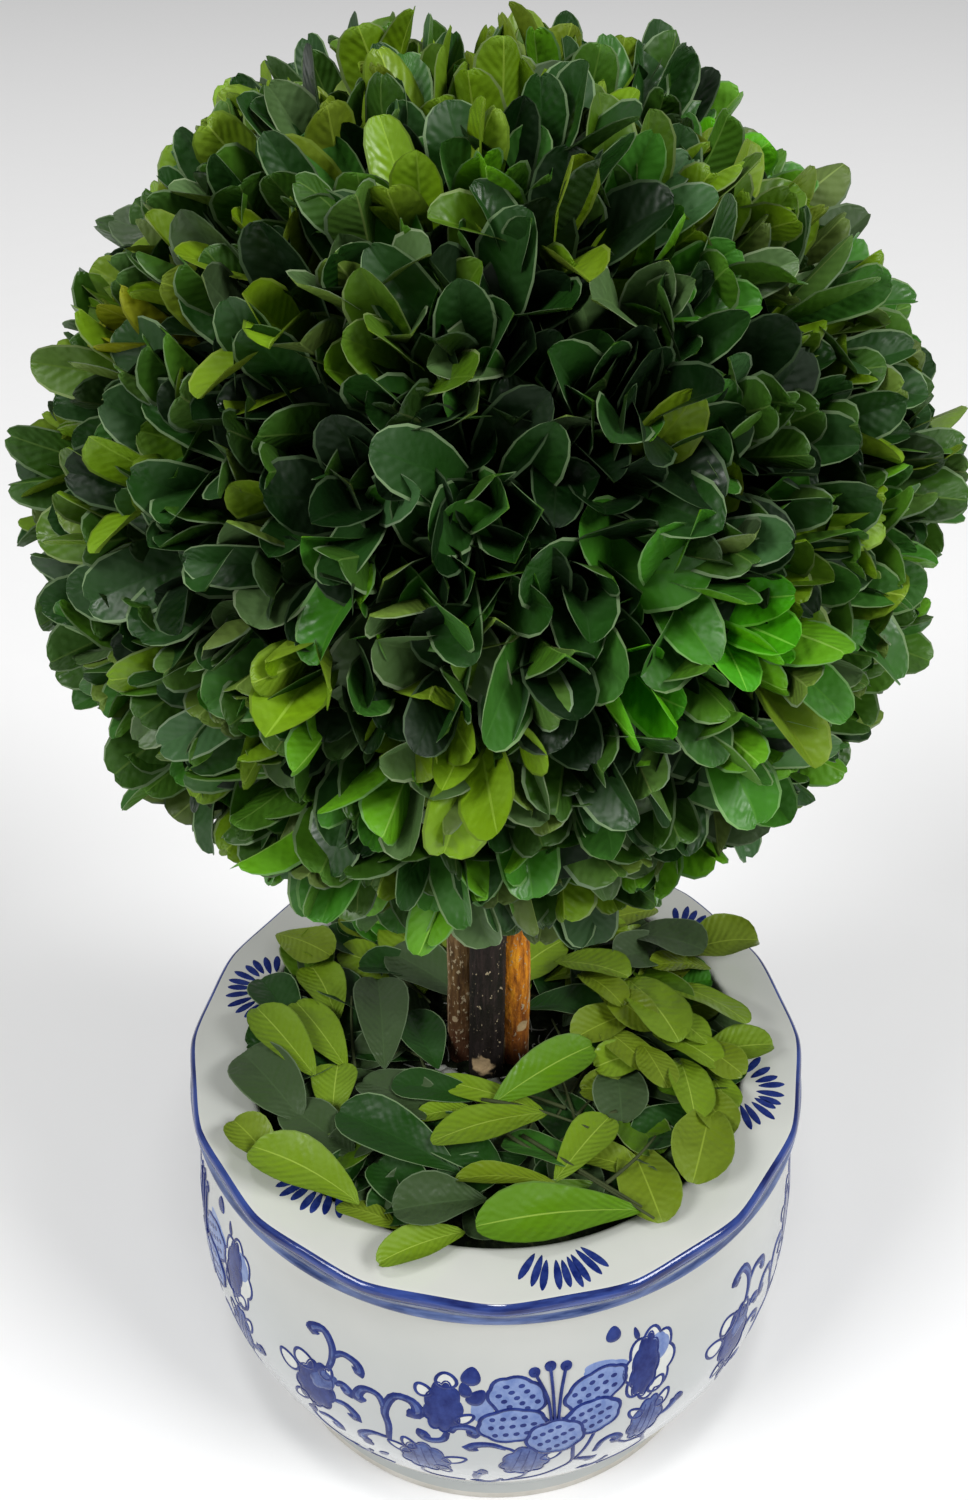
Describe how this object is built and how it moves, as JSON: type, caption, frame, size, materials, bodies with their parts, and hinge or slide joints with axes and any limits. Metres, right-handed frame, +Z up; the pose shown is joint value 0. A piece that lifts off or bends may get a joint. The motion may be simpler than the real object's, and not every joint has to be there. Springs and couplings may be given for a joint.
{
  "type": "box topiary ball in a pot",
  "caption": "Clipped ball of box leaves on a bundle of sticks, in a round white ceramic pot painted in blue, with loose leaves laid over the pot's filling.",
  "frame": {"origin": "centre of the pot's flat underside", "axes": "+Z up along the sticks, -Y towards the pot's painted front, +X to the right seen from the front"},
  "size_m": [0.1426, 0.1441, 0.2852],
  "materials": {
    "glaze": "glossy white glaze with painted blue ornament",
    "foam": "dark dry foam",
    "dark_bark": "smooth dark bark",
    "brown_bark": "brown bark with pale flecks",
    "orange_bark": "orange-brown bark",
    "ball_leaf": "dark green preserved leaves, satin",
    "bed_leaf": "yellow-green preserved leaves, satin"
  },
  "bodies": {
    "root": {"pot": "glaze", "pot_filling": "foam", "stick_front": "dark_bark", "stick_left": "brown_bark", "stick_right": "orange_bark", "stick_back": "brown_bark", "leaf_ball": "ball_leaf", "leaf_bed": "bed_leaf"}
  },
  "joints": []
}
